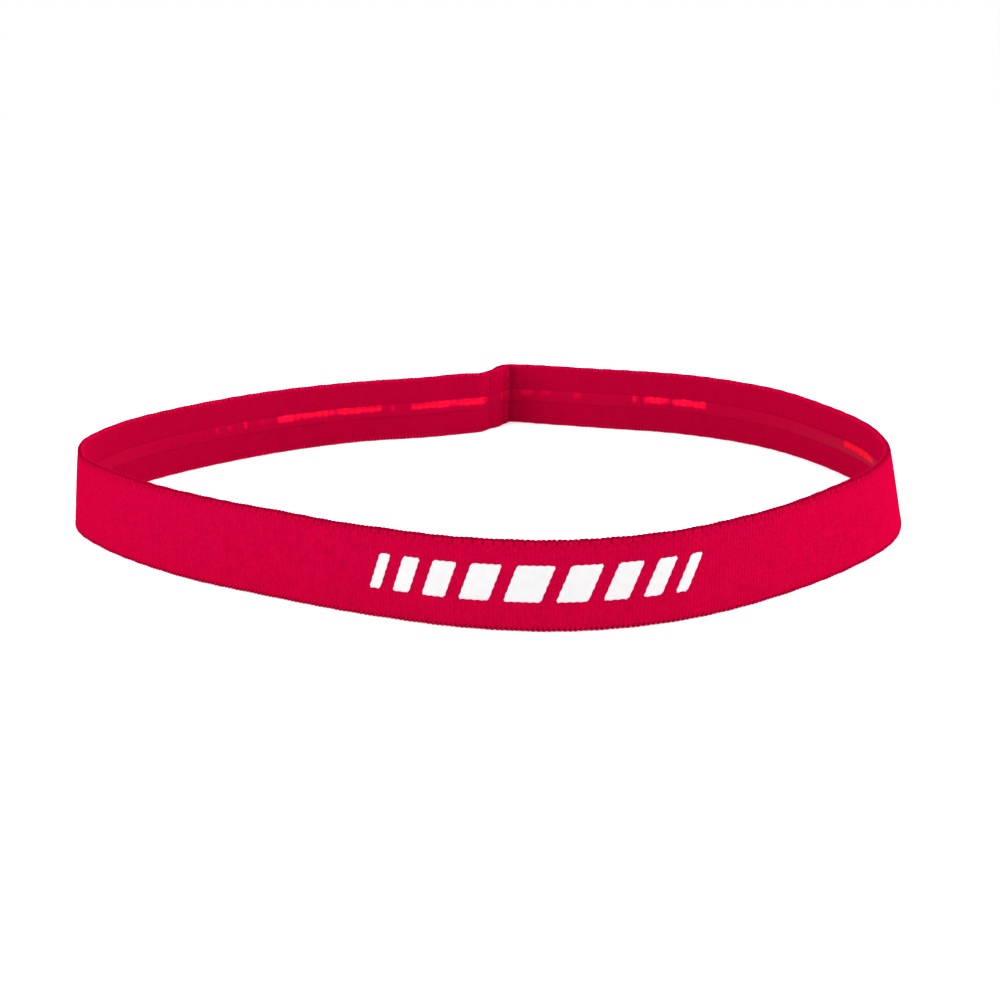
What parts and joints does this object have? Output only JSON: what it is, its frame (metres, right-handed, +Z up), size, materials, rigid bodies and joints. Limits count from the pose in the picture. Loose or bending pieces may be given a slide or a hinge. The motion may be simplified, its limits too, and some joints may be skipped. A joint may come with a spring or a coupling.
{
  "type": "sports headband",
  "caption": "Slim elastic sports headband: a knitted loop with a silicone grip line inside, a sewn lap at the back and a plain printed bar motif at the front.",
  "frame": {"origin": "middle of the headband's bounding box, on the surface that its lower edge stands on", "axes": "+Z up across the webbing's width, +X along the loop's longest side, -Y to the printed front; the sewn lap is at the back, +Y"},
  "size_m": [0.1726, 0.1394, 0.016],
  "materials": {
    "webbing": "matte",
    "silicone": "gloss",
    "thread": "satin",
    "film": "satin"
  },
  "bodies": {
    "root": {"webbing_strap": "webbing", "grip_strip": "silicone", "needle_thread_1": "thread", "bobbin_thread_1": "thread", "needle_thread_2": "thread", "bobbin_thread_2": "thread", "print_bar_1": "film", "print_bar_2": "film", "print_bar_3": "film", "print_bar_4": "film", "print_bar_5": "film", "print_bar_6": "film", "print_bar_7": "film", "print_bar_8": "film", "print_bar_9": "film"}
  },
  "joints": []
}
